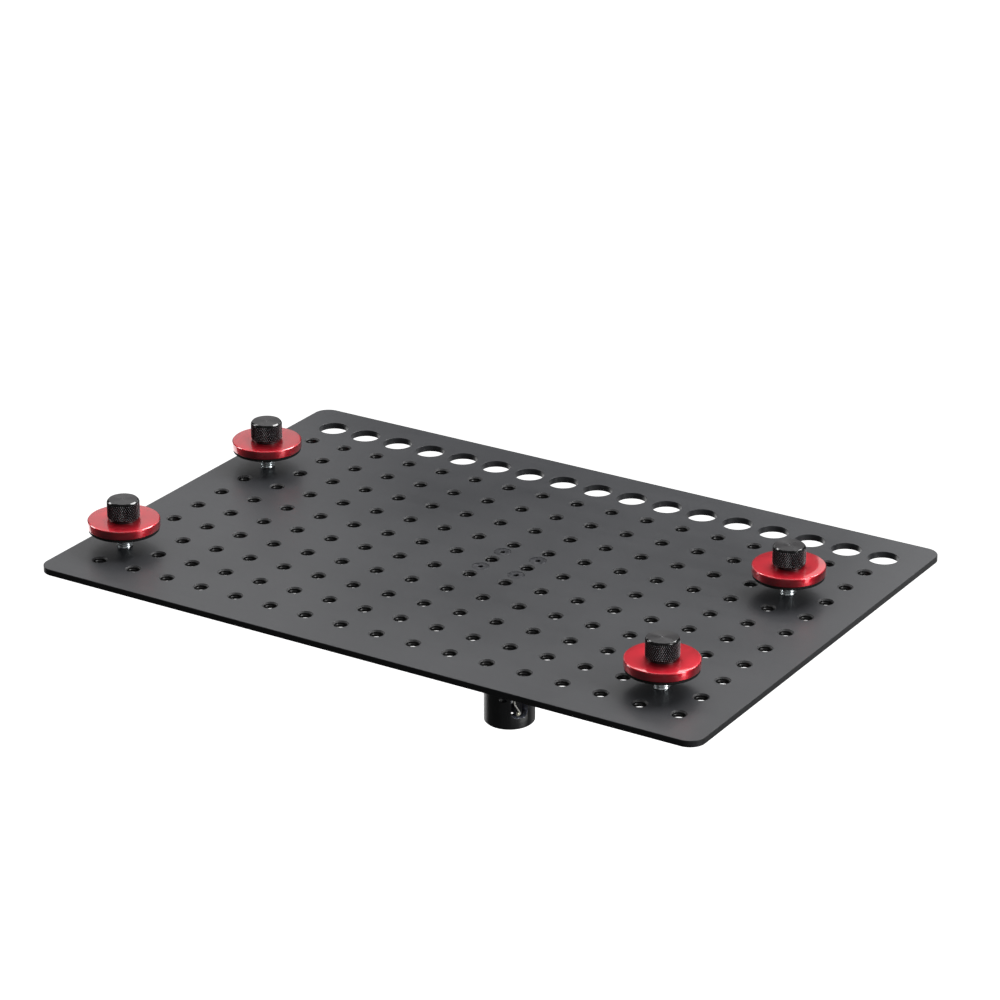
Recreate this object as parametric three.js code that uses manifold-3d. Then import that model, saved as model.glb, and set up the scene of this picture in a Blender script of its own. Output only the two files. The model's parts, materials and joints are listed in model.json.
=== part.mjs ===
// Tethering table: a drilled aluminium plate on a quick-lock spigot socket, with four screw-down clamps.
// Millimetres, +Z up. The origin is the centre of the socket's lower rim, on the spigot's axis.
// +X runs along the plate's front edge, and the row of cable holes is at the back, towards +Y.
import * as THREE from "three";
import { mergeGeometries, mergeVertices } from "three/addons/utils/BufferGeometryUtils.js";
import Module from "manifold-3d";

const wasm = await Module();
wasm.setup();

// Table plate
const plateWidth = 453;
const plateDepth = 305;
const plateThickness = 4;
const plateCorner = 10;
const plateChamfer = 0.2;

// Hole grid: tapped holes for the clamp studs, and one row of cable holes along the back
const holePitch = 25;
const gridMargin = 20; // least distance from a hole's centre to the plate's edge
const cableHoleDiameter = 19;

// Clamp thread, as its outside diameter and its rise per turn
const threadDiameter = 9.6;
const threadDepth = 1.2;

// Clamp disc and its rubber pad
const discDiameter = 44;
const discThickness = 5.5;
const discChamfer = 0.5;
const padDiameter = 43;
const padThickness = 1.5;
const padBore = 14;

// Clamp knob and the stud fixed in it
const knobDiameter = 20;
const knobHeight = 12.5;
const knobChamfer = 0.7;
const knobNeckDiameter = 18;
const knobNeckHeight = 0.8;
const knobWell = 9; // depth of the stud's hole, from the knob's lower face
const knobDimpleDiameter = 1.4;
const knobDimpleDepth = 0.4;
const shankDiameter = 7.6;
const studReach = 9; // how far the stud stands out under the plate at rest
const studTip = 0.9;
const gripGap = 11.1; // from the plate up to the rubber pad at rest

// Retaining ring that keeps the disc on its stud
const ringDiameter = 12.4;
const ringThickness = 1;
const ringGroove = 0.6;

// Mounting flange and its countersunk screws
const flangeThickness = 8;
const flangeWall = 2.8; // metal outside the screws
const flangeChamfer = 0.8;
const screwDiameter = 5;
const screwLength = 10;
const screwHeadDiameter = 10;
const screwHeadRim = 0.3;
const hexAcross = 3;
const hexDepth = 1.8;

// Spigot socket
const socketDrop = 100; // from the plate's underside down to the socket's rim
const socketDiameter = 31.5;
const socketChamfer = 0.8;
const neckDiameter = 20;
const spigotDiameter = 16;
const spigotBoreDepth = 45;
const leadIn = 1;

// Window for the latch, cut through the socket's wall
const windowWidth = 11;
const windowSill = 7.5; // height of its lower edge above the rim
const windowHeight = 27;
const windowCorner = 4;
const windowHeading = THREE.MathUtils.degToRad(-34); // the way the window faces

// Latch pawl, measured in the window's own frame: out from the axis, across, and up from the rim
const pawlInset = 2.35; // how far its outer face lies inside the socket's skin
const pawlThickness = 2.6;
const pawlWidth = 5;
const pawlFoot = 0.8; // gap under the pawl
const tailRise = 11; // from the pivot up to the tail's end
const tailRound = 1.2;
const pivotHeight = 20;
const pivotDiameter = 3;
const pivotInset = 0.7; // how far the pin's ends lie inside the socket's skin
const bossRadius = 3.2;
const noseReach = 1.3; // how far the nose stands inside the spigot's surface
const noseTop = 15;
const noseFace = 2.2;
const noseSlopeFoot = 1.2;

// Latch spring: one loop round the pivot and a leg hooked under the peg
const wireDiameter = 0.9;
const springMeanDiameter = 4.8;
const springRise = 1.5; // from one turn to the next
const springTurns = 1;
const springLegRise = 5;
const pegDiameter = 1.6;
const pegHeadDiameter = 2.5;
const pegHeadHeight = 0.9;
const pegHeight = 10.2;
const pegShift = -0.9;

// Clearances
const seat = 0.1; // between flat faces that rest on each other
const running = 0.3; // round a shaft or a pin, and between pieces that pass
const overrun = 1; // how far a cutter runs past the metal
const weld = 1e-4; // vertices closer than this are one

// Facets
const holeSides = 8;
const cableHoleSides = 16;
const discSides = 24;
const knobSides = 18;
const studSides = 12;
const ringSides = 12;
const socketSides = 32;
const screwSides = 12;
const cornerSteps = 3;
const wireSides = 5;
const loopSteps = 12;
const wireSteps = 56;

// Places that follow from the sizes above
const underside = socketDrop;
const plateTop = socketDrop + plateThickness;
const plateMiddle = -holePitch / 2; // the socket stands midway between two holes of the middle row
const holesEachSide = Math.floor((plateWidth / 2 - gridMargin) / holePitch);
const rowsEachSide = Math.floor((plateDepth / 2 - gridMargin) / holePitch);
const lastColumn = 2 * holesEachSide;
const cableRow = 2 * rowsEachSide;
const columnX = (column) => plateMiddle + (column - holesEachSide) * holePitch;
const rowY = (row) => (row - rowsEachSide) * holePitch;
const studRadius = threadDiameter / 2 - threadDepth / 2;
const flangeScrewOffset = holePitch / 2;
const flangeRadius = Math.hypot(flangeScrewOffset, flangeScrewOffset) + screwDiameter / 2 + flangeWall;
const flangeFoot = socketDrop - flangeThickness;
const boreRadius = spigotDiameter / 2 + running / 2;
const pawlOuter = socketDiameter / 2 - pawlInset;
const pawlInner = pawlOuter - pawlThickness;
const pivotOut = pawlInner + pawlThickness / 2;

// The clamps stand in these columns and rows of the grid.
const stations = [
  { name: "front_left", column: 0, row: 1 },
  { name: "rear_left", column: 0, row: cableRow - 3 },
  { name: "front_right", column: lastColumn - 1, row: 1 },
  { name: "rear_right", column: lastColumn - 1, row: cableRow - 3 },
];

// Finishes
const finish = (color, roughness, metalness) => () =>
  new THREE.MeshStandardMaterial({ color, roughness, metalness });
const blackAnodised = finish(0x1c1d20, 0.38, 0.85);
const redAnodised = finish(0xb3101f, 0.3, 0.9);
const zincSteel = finish(0xb9bdc2, 0.28, 1);
const blackRubber = finish(0x101011, 0.85, 0);
const blackOxide = finish(0x232426, 0.45, 0.8);

// A closed solid from a geometry, with its shared vertices merged and collapsed triangles dropped
function solidOf(geometry) {
  const bare = geometry.clone();
  bare.deleteAttribute("normal");
  bare.deleteAttribute("uv");
  const merged = mergeVertices(bare, weld);
  const index = merged.index.array;
  const kept = [];
  for (let i = 0; i < index.length; i += 3) {
    const [a, b, c] = [index[i], index[i + 1], index[i + 2]];
    if (a !== b && b !== c && c !== a) kept.push(a, b, c);
  }
  return new wasm.Manifold(new wasm.Mesh({
    numProp: 3,
    vertProperties: merged.attributes.position.array,
    triVerts: new Uint32Array(kept),
  }));
}

function geometryOf(solid) {
  const mesh = solid.getMesh();
  const geometry = new THREE.BufferGeometry();
  geometry.setAttribute("position", new THREE.BufferAttribute(mesh.vertProperties, 3));
  geometry.setIndex(new THREE.BufferAttribute(mesh.triVerts, 1));
  return geometry;
}

function cut(geometry, ...cutters) {
  return geometryOf(cutters.reduce((left, cutter) => left.subtract(solidOf(cutter)), solidOf(geometry)));
}

function piece(name, geometry, material) {
  const clean = geometryOf(solidOf(geometry));
  clean.computeVertexNormals();
  const mesh = new THREE.Mesh(clean, material());
  mesh.name = name;
  return mesh;
}

// Upright cylinder between two heights
function rod(radius, from, to, sides) {
  return new THREE.CylinderGeometry(radius, radius, to - from, sides)
    .rotateX(Math.PI / 2)
    .translate(0, 0, (from + to) / 2);
}

// Solid turned about the Z axis from a profile of [radius, height] pairs, outer wall running upwards
function turned(profile, sides) {
  const points = profile.map(([radius, height]) => new THREE.Vector2(radius, height));
  return new THREE.LatheGeometry(points, sides).rotateX(Math.PI / 2);
}

// A ring's profile has its first point again at the end.
const closed = (profile) => [...profile, profile[0]];

function roundedRectangle(width, height, corner) {
  const [x, y] = [width / 2, height / 2];
  const quarter = Math.PI / 2;
  return new THREE.Shape()
    .moveTo(-x + corner, -y)
    .absarc(x - corner, -y + corner, corner, -quarter, 0)
    .absarc(x - corner, y - corner, corner, 0, quarter)
    .absarc(-x + corner, y - corner, corner, quarter, 2 * quarter)
    .absarc(-x + corner, -y + corner, corner, 2 * quarter, 3 * quarter);
}

function tablePlate() {
  const slab = new THREE.ExtrudeGeometry(roundedRectangle(plateWidth, plateDepth, plateCorner), {
    depth: plateThickness - 2 * plateChamfer,
    bevelThickness: plateChamfer,
    bevelSize: plateChamfer,
    bevelOffset: -plateChamfer,
    bevelSegments: 1,
    curveSegments: cornerSteps,
  }).translate(plateMiddle, 0, underside + plateChamfer);
  const drill = (radius, sides, x, y) =>
    rod(radius, underside - overrun, plateTop + overrun, sides).translate(x, y, 0);
  const holes = [];
  for (let column = 0; column <= lastColumn; column++) {
    for (let row = 0; row < cableRow; row++)
      holes.push(drill(threadDiameter / 2, holeSides, columnX(column), rowY(row)));
    holes.push(drill(cableHoleDiameter / 2, cableHoleSides, columnX(column), rowY(cableRow)));
  }
  for (const [x, y] of flangeScrewPlaces()) holes.push(countersink().translate(x, y, 0));
  return cut(slab, mergeGeometries(holes));
}

// The flange screws stand midway between holes, on a square as wide as the grid's pitch.
function flangeScrewPlaces() {
  const d = flangeScrewOffset;
  return [[-d, -d], [d, -d], [d, d], [-d, d]];
}

// Screw head's seat in the plate: a clearance hole that opens in a cone at the top
function countersink() {
  const shank = screwDiameter / 2 + running;
  const head = screwHeadDiameter / 2 + running;
  const coneFoot = plateTop - screwHeadRim - (head - shank);
  return turned([
    [0, underside - overrun],
    [shank, underside - overrun],
    [shank, coneFoot],
    [head, plateTop - screwHeadRim],
    [head, plateTop + overrun],
    [0, plateTop + overrun],
  ], screwSides);
}

function flangeScrew() {
  const shank = screwDiameter / 2;
  const head = screwHeadDiameter / 2;
  const top = plateTop - seat;
  const coneFoot = top - screwHeadRim - (head - shank);
  const body = turned([
    [0, top - screwLength],
    [shank, top - screwLength],
    [shank, coneFoot],
    [head, top - screwHeadRim],
    [head, top],
    [0, top],
  ], screwSides);
  const hexRadius = hexAcross / Math.sqrt(3);
  return cut(body, rod(hexRadius, top - hexDepth, top + overrun, 6));
}

function mountingFlange() {
  const [bore, top] = [neckDiameter / 2 + running, underside - seat];
  const ring = turned(closed([
    [bore, flangeFoot],
    [flangeRadius - flangeChamfer, flangeFoot],
    [flangeRadius, flangeFoot + flangeChamfer],
    [flangeRadius, top],
    [bore, top],
  ]), socketSides);
  const hole = screwDiameter / 2 + running;
  const drills = flangeScrewPlaces().map(([x, y]) =>
    rod(hole, flangeFoot - overrun, underside + overrun, screwSides).translate(x, y, 0));
  return cut(ring, ...drills);
}

// Turned socket: a blind bore for the spigot, a screwed neck at the top and the latch's window
function socketBody() {
  const radius = socketDiameter / 2;
  const shoulder = flangeFoot - seat;
  const body = turned([
    [0, spigotBoreDepth],
    [boreRadius, spigotBoreDepth],
    [boreRadius, leadIn],
    [boreRadius + leadIn, 0],
    [radius - socketChamfer, 0],
    [radius, socketChamfer],
    [radius, shoulder - socketChamfer],
    [radius - socketChamfer, shoulder],
    [neckDiameter / 2, shoulder],
    [neckDiameter / 2, underside - running],
    [0, underside - running],
  ], socketSides);
  const window = new THREE.ExtrudeGeometry(roundedRectangle(windowWidth, windowHeight, windowCorner), {
    depth: radius + overrun,
    bevelEnabled: false,
    curveSegments: cornerSteps,
  });
  window.applyMatrix4(acrossAndUp()).translate(0, 0, windowSill + windowHeight / 2);
  const pinHole = crossRod(pivotDiameter / 2 + running, socketDiameter);
  return cut(body, window.rotateZ(windowHeading), pinHole.rotateZ(windowHeading));
}

// Turns a drawing's x, y and depth to the window frame's across, up and out.
function acrossAndUp() {
  return new THREE.Matrix4().makeBasis(
    new THREE.Vector3(0, 1, 0), new THREE.Vector3(0, 0, 1), new THREE.Vector3(1, 0, 0));
}

// Turns a drawing's x and y to the window frame's out and up, with its depth across.
function outAndUp() {
  return new THREE.Matrix4().makeBasis(
    new THREE.Vector3(1, 0, 0), new THREE.Vector3(0, 0, 1), new THREE.Vector3(0, -1, 0));
}

// Cylinder that crosses the window at the pivot
function crossRod(radius, length) {
  return new THREE.CylinderGeometry(radius, radius, length, studSides).translate(pivotOut, 0, 0)
    .translate(0, 0, pivotHeight);
}

function latchPin() {
  const halfChord = Math.sqrt((socketDiameter / 2) ** 2 - pivotOut ** 2);
  return crossRod(pivotDiameter / 2, 2 * (halfChord - pivotInset));
}

// Lever with a hooked nose at its foot, a round boss at the pivot and a tail to press above it
function latchPawl() {
  const foot = windowSill + pawlFoot;
  const top = pivotHeight + tailRise;
  const noseTip = spigotDiameter / 2 - noseReach;
  const lean = Math.asin(pawlThickness / 2 / bossRadius); // where the faces meet the boss
  const quarter = Math.PI / 2;
  const side = new THREE.Shape()
    .moveTo(pawlInner, foot)
    .lineTo(pawlOuter, foot)
    .absarc(pivotOut, pivotHeight, bossRadius, -quarter + lean, quarter - lean)
    .lineTo(pawlOuter, top - tailRound)
    .absarc(pawlOuter - tailRound, top - tailRound, tailRound, 0, quarter)
    .lineTo(pawlInner, top)
    .absarc(pivotOut, pivotHeight, bossRadius, quarter + lean, 3 * quarter - lean)
    .lineTo(pawlInner, noseTop)
    .lineTo(noseTip, noseTop)
    .lineTo(noseTip, noseTop - noseFace)
    .lineTo(pawlInner, foot + noseSlopeFoot);
  side.holes.push(new THREE.Path()
    .absarc(pivotOut, pivotHeight, pivotDiameter / 2 + running, 0, 2 * Math.PI, true));
  const lever = new THREE.ExtrudeGeometry(side, {
    depth: pawlWidth,
    bevelEnabled: false,
    curveSegments: cornerSteps,
  }).applyMatrix4(outAndUp()).translate(0, pawlWidth / 2, 0);
  const pegHole = rod(pegDiameter / 2 + running, 0, socketDiameter / 2, studSides);
  return cut(lever, pegHole.applyMatrix4(acrossAndUp()).translate(0, pegShift, pegHeight));
}

// Riveted peg with a domed head, for the spring's hook
function latchPeg() {
  const [neck, head] = [pegDiameter / 2, pegHeadDiameter / 2];
  const headFoot = pawlOuter + wireDiameter + 2 * running;
  const peg = turned([
    [0, pawlInner + seat],
    [neck, pawlInner + seat],
    [neck, headFoot],
    [head, headFoot],
    [head, headFoot + pegHeadHeight / 3],
    [head * Math.SQRT1_2, headFoot + pegHeadHeight * 5 / 6],
    [0, headFoot + pegHeadHeight],
  ], studSides);
  return peg.applyMatrix4(acrossAndUp()).translate(0, pegShift, pegHeight);
}

// Points of the spring's wire: a short leg up, one loop round the pivot, a leg down and a hook
function springRoute() {
  const loop = springMeanDiameter / 2;
  const gapLeft = -windowWidth / 2 + wireDiameter / 2 + running; // the wire's place by the window's wall
  const turn = 2 * Math.PI * springTurns;
  const points = [new THREE.Vector3(pivotOut + loop, gapLeft, pivotHeight + springLegRise)];
  for (let i = 0; i <= loopSteps; i++) {
    const angle = -turn * (i / loopSteps);
    points.push(new THREE.Vector3(
      pivotOut + loop * Math.cos(angle),
      gapLeft + springRise * springTurns * (i / loopSteps),
      pivotHeight + loop * Math.sin(angle),
    ));
  }
  const over = pawlOuter + wireDiameter / 2 + running; // clear of the pawl's outer face
  const hook = pegDiameter / 2 + wireDiameter / 2 + running;
  const hookPoint = (degrees) => {
    const angle = THREE.MathUtils.degToRad(degrees);
    return new THREE.Vector3(over, pegShift + hook * Math.cos(angle), pegHeight + hook * Math.sin(angle));
  };
  const start = points[points.length - 1].clone().setZ(pivotHeight - crossingShare * bossRadius);
  const end = hookPoint(hookFrom);
  for (const share of legShares) points.push(new THREE.Vector3().lerpVectors(start, end, share));
  for (let degrees = hookFrom; degrees >= hookTo; degrees -= hookStep) points.push(hookPoint(degrees));
  return points;
}

// The hook's sweep round the peg, in degrees. The leg drops past this share of the boss's radius
// before it crosses to the peg, with points at these shares of the way.
const [hookFrom, hookTo, hookStep] = [50, -100, 30];
const crossingShare = 0.9;
const legShares = [0, 0.35, 0.7];

function tube(points, diameter, sides, steps) {
  const section = new THREE.Shape(Array.from({ length: sides }, (_, i) => {
    const angle = 2 * Math.PI * i / sides;
    return new THREE.Vector2(diameter / 2 * Math.cos(angle), diameter / 2 * Math.sin(angle));
  }));
  const extrudePath = new THREE.CatmullRomCurve3(points, false, "centripetal");
  return new THREE.ExtrudeGeometry(section, { steps, bevelEnabled: false, extrudePath });
}

// Least clear distance of a wire from itself, between points that lie more than a loop's width apart
function leastGap(points, diameter, apart) {
  const curve = new THREE.CatmullRomCurve3(points, false, "centripetal");
  const places = curve.getSpacedPoints(wireSteps * 4);
  const step = curve.getLength() / (wireSteps * 4);
  let least = Infinity;
  places.forEach((a, i) => places.slice(i + Math.ceil(apart / step)).forEach((b) => {
    least = Math.min(least, a.distanceTo(b) - diameter);
  }));
  return least;
}

// Clamp pieces stand on the stud's axis, with heights measured from the plate's top.
const discFoot = gripGap + padThickness + seat;
const discTop = discFoot + discThickness;
const knobFoot = discTop + seat;

function clampPad() {
  const [bore, rim] = [padBore / 2, padDiameter / 2];
  return turned(closed([
    [bore, gripGap],
    [rim, gripGap],
    [rim, gripGap + padThickness],
    [bore, gripGap + padThickness],
  ]), discSides);
}

function clampDisc() {
  const [bore, rim] = [shankDiameter / 2 + running, discDiameter / 2];
  return turned(closed([
    [bore, discFoot],
    [rim - discChamfer, discFoot],
    [rim, discFoot + discChamfer],
    [rim, discTop - discChamfer],
    [rim - discChamfer, discTop],
    [bore, discTop],
  ]), discSides);
}

function clampKnob() {
  const [well, neck, rim] = [shankDiameter / 2 + seat, knobNeckDiameter / 2, knobDiameter / 2];
  const neckTop = knobFoot + knobNeckHeight;
  const top = knobFoot + knobHeight;
  return turned([
    [0, knobFoot + knobWell],
    [well, knobFoot + knobWell],
    [well, knobFoot],
    [neck, knobFoot],
    [neck, neckTop],
    [rim, neckTop],
    [rim, top - knobChamfer],
    [rim - knobChamfer, top],
    [knobDimpleDiameter / 2, top],
    [0, top - knobDimpleDepth],
  ], knobSides);
}

function clampStud() {
  const shank = shankDiameter / 2;
  const tip = -plateThickness - studReach;
  const grooveTop = discFoot;
  const grooveFoot = grooveTop - ringThickness - 2 * seat;
  return turned([
    [0, tip],
    [studRadius - studTip, tip],
    [studRadius, tip + studTip],
    [studRadius, grooveFoot],
    [shank - ringGroove, grooveFoot],
    [shank - ringGroove, grooveTop],
    [shank, grooveTop],
    [shank, knobFoot + knobWell - seat],
    [0, knobFoot + knobWell - seat],
  ], studSides);
}

function clampRing() {
  const [bore, rim] = [shankDiameter / 2 - ringGroove + seat, ringDiameter / 2];
  const top = discFoot - seat;
  return turned(closed([
    [bore, top - ringThickness],
    [rim, top - ringThickness],
    [rim, top],
    [bore, top],
  ]), ringSides);
}

function clamp({ name, column, row }) {
  const group = new THREE.Group();
  group.add(
    piece(`${name}_disc`, clampDisc(), redAnodised),
    piece(`${name}_pad`, clampPad(), blackRubber),
    piece(`${name}_knob`, clampKnob(), blackAnodised),
    piece(`${name}_stud`, clampStud(), zincSteel),
    piece(`${name}_retaining_ring`, clampRing(), blackOxide),
  );
  group.position.set(columnX(column), rowY(row), plateTop);
  return group;
}

function socketAssembly() {
  const group = new THREE.Group();
  group.add(
    piece("mounting_flange", mountingFlange(), blackAnodised),
    piece("socket_body", socketBody(), blackAnodised),
  );
  flangeScrewPlaces().forEach(([x, y], i) => {
    const screw = piece(`flange_screw_${i + 1}`, flangeScrew(), blackOxide);
    screw.position.set(x, y, 0);
    group.add(screw);
  });
  const latch = new THREE.Group();
  latch.rotation.z = windowHeading;
  const route = springRoute();
  latch.add(
    piece("latch_pawl", latchPawl(), blackOxide),
    piece("latch_pivot_pin", latchPin(), zincSteel),
    piece("latch_peg", latchPeg(), zincSteel),
    piece("latch_spring", tube(route, wireDiameter, wireSides, wireSteps), zincSteel),
  );
  console.log("latch spring: least gap to itself, mm:",
    leastGap(route, wireDiameter, springMeanDiameter).toFixed(2));
  group.add(latch);
  return group;
}

const table = new THREE.Group();
table.add(piece("table_plate", tablePlate(), blackAnodised), socketAssembly());
for (const station of stations) table.add(clamp(station));

export default table;
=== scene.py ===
"""Tethering table: a drilled black plate on a spigot socket, with four red screw-down clamps."""

import json
import math

import bmesh
import bpy
from mathutils import Matrix, Vector

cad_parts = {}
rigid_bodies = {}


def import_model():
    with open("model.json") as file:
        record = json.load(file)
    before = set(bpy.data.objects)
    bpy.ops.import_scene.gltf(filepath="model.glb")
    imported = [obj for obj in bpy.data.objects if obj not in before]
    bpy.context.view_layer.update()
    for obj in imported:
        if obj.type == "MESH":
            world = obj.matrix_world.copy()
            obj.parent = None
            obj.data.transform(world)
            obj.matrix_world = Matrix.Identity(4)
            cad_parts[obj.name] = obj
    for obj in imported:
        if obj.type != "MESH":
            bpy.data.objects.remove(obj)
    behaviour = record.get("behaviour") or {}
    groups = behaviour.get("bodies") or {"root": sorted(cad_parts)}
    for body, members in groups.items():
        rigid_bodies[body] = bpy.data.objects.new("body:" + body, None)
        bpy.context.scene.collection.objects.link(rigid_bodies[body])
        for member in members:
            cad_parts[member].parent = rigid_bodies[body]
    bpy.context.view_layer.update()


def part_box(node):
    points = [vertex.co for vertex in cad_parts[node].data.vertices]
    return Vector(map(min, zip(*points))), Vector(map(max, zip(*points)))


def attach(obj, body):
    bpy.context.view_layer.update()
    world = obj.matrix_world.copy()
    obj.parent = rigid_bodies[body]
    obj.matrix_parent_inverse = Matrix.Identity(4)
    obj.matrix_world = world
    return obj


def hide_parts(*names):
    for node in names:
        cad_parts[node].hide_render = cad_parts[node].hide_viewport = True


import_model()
MM = 0.001

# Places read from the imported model, in metres
PLATE_LOW, PLATE_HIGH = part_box("table_plate")
PLATE_TOP = PLATE_HIGH.z
PLATE_CENTRE = Vector(((PLATE_LOW.x + PLATE_HIGH.x) / 2, (PLATE_LOW.y + PLATE_HIGH.y) / 2, PLATE_TOP))
STATIONS = ("front_left", "rear_left", "front_right", "rear_right")

# Plate and holes
PITCH = 25 * MM
THICKNESS = PLATE_HIGH.z - PLATE_LOW.z
SCREW_OFFSET, SCREW_HOLE_RADIUS = 12.5 * MM, 2.8 * MM

# Clamp heights above the plate
STUD_END, THREAD_END = -13 * MM, 11.6 * MM
PAD_FOOT, PAD_TOP = 11.1 * MM, 12.6 * MM
DISC_FOOT, DISC_TOP = 12.7 * MM, 18.2 * MM
KNOB_FOOT, KNOB_TOP = 18.3 * MM, 30.8 * MM

# Clamp radii and bores, eased corners, knurl and thread
DISC_RADIUS, DISC_BORE = 22 * MM, 4.1 * MM
PAD_RADIUS, PAD_BORE = 21.5 * MM, 7 * MM
RING_RADIUS, RING_BORE = 6.2 * MM, 3.3 * MM
KNOB_BORE, KNOB_BORE_TOP = 3.9 * MM, KNOB_FOOT + 9 * MM
TURNED_EASE = 0.12 * MM
KNURL_RADIUS, KNURL_DEPTH, DIAMONDS_AROUND, DIAMONDS_UP = 10 * MM, 0.42 * MM, 52, 5
THREAD_PITCH = 1.5875 * MM

# Socket and latch
SOCKET_RADIUS, BORE_RADIUS, BORE_DEPTH = 15.75 * MM, 8.15 * MM, 45 * MM
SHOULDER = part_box("mounting_flange")[0].z - 0.1 * MM
NECK_RADIUS, NECK_TOP = 10 * MM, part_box("socket_body")[1].z
WINDOW_WIDTH, WINDOW_SILL, WINDOW_HEIGHT, WINDOW_CORNER = 11 * MM, 7.5 * MM, 27 * MM, 4 * MM
WINDOW_TURN = Matrix.Rotation(math.radians(-34), 4, "Z")
PAWL_OUTER, PAWL_INNER, PAWL_WIDTH = 13.4 * MM, 10.8 * MM, 5 * MM
PAWL_BOSS = 3.2 * MM
PIVOT_OUT, PIVOT_HEIGHT, PIVOT_RADIUS = 12.1 * MM, 20 * MM, 1.5 * MM
PEG_ACROSS, PEG_HEIGHT, PEG_RADIUS, PEG_HEAD_RADIUS = -0.9 * MM, 10.2 * MM, 0.8 * MM, 1.25 * MM
WIRE_RADIUS, WIRE_CLEARANCE = 0.45 * MM, 0.3 * MM


# Node trees

class Nodes:
    """Adds nodes to a tree. Each input gets a plain value, or the output of another node."""

    def __init__(self, tree):
        self.tree = tree

    def give(self, socket, value):
        if isinstance(value, bpy.types.NodeSocket):
            self.tree.links.new(value, socket)
        else:
            socket.default_value = value

    def add(self, kind, *values, output=0, settings=None, **named):
        node = self.tree.nodes.new(kind)
        for key, value in (settings or {}).items():
            setattr(node, key, value)
        for socket, value in zip(node.inputs, values):
            self.give(socket, value)
        for label, value in named.items():
            self.give(node.inputs[label.replace("_", " ")], value)
        return node.outputs[output]

    def math(self, operation, *values):
        return self.add("ShaderNodeMath", *values, settings={"operation": operation})


# Geometry Nodes recipes

class Recipe(Nodes):
    """A Geometry Nodes tree whose inputs are named sizes and finishes."""

    def __init__(self, name, sizes, finishes=("Finish",)):
        super().__init__(bpy.data.node_groups.new(name, "GeometryNodeTree"))
        face = self.tree.interface
        for label, value in sizes.items():
            kind = "NodeSocketInt" if isinstance(value, int) else "NodeSocketFloat"
            face.new_socket(label, in_out="INPUT", socket_type=kind).default_value = value
        for label in finishes:
            face.new_socket(label, in_out="INPUT", socket_type="NodeSocketMaterial")
        face.new_socket("Mesh", in_out="OUTPUT", socket_type="NodeSocketGeometry")
        self.size = self.tree.nodes.new("NodeGroupInput").outputs
        self.end = self.tree.nodes.new("NodeGroupOutput").inputs[0]

    def vector(self, x=0.0, y=0.0, z=0.0):
        return self.add("ShaderNodeCombineXYZ", x, y, z)

    def join(self, *parts):
        node = self.tree.nodes.new("GeometryNodeJoinGeometry")
        for part in parts:
            self.tree.links.new(part, node.inputs[0])
        return node.outputs[0]

    def moved(self, shape, x=0.0, y=0.0, z=0.0):
        return self.add("GeometryNodeTransform", shape, Translation=self.vector(x, y, z))

    def flipped(self, shape):
        return self.add("GeometryNodeFlipFaces", shape)

    def circle(self, radius, sides):
        return self.add("GeometryNodeCurvePrimitiveCircle", Resolution=sides, Radius=radius)

    def filled(self, *curves):
        return self.add("GeometryNodeFillCurve", self.join(*curves))

    def band(self, curve, out_from, down_from, out_to, down_to):
        """A strip along a curve. It runs between two places, each given outwards and down from the curve."""
        profile = self.add("GeometryNodeCurvePrimitiveLine", Start=self.vector(out_from, down_from),
                           End=self.vector(out_to, down_to))
        return self.add("GeometryNodeCurveToMesh", Curve=curve, Profile_Curve=profile)

    def placed(self, shape, points, selection=True):
        return self.add("GeometryNodeInstanceOnPoints", points, Selection=selection, Instance=shape)

    def dressed(self, shape, finish):
        whole = self.add("GeometryNodeRealizeInstances", shape)
        return self.add("GeometryNodeSetMaterial", whole, Material=finish)

    def close(self, *shapes):
        """Joins dressed shapes at their common edges, and ends the tree."""
        whole = self.add("GeometryNodeMergeByDistance", self.join(*shapes), Distance=2e-6)
        self.tree.links.new(whole, self.end)
        return self.tree


def shaped(recipe, **values):
    """The plain mesh that a recipe makes, with any sizes and finishes given here."""
    name = recipe.name
    holder = bpy.data.objects.new(name, bpy.data.meshes.new(name))
    bpy.context.scene.collection.objects.link(holder)
    modifier = holder.modifiers.new(name, "NODES")
    modifier.node_group = recipe
    for item in recipe.interface.items_tree:
        label = item.name.replace(" ", "_").lower()
        if item.in_out == "INPUT" and label in values:
            modifier[item.identifier] = values[label]
    graph = bpy.context.evaluated_depsgraph_get()
    mesh = bpy.data.meshes.new_from_object(holder.evaluated_get(graph))
    bpy.data.objects.remove(holder)
    finishes = list(mesh.materials)
    used = [finish for finish in finishes if finish]
    numbers = [used.index(finishes[face.material_index]) for face in mesh.polygons]
    mesh.materials.clear()
    for finish in used:
        mesh.materials.append(finish)
    mesh.polygons.foreach_set("material_index", numbers)
    return mesh


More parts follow.
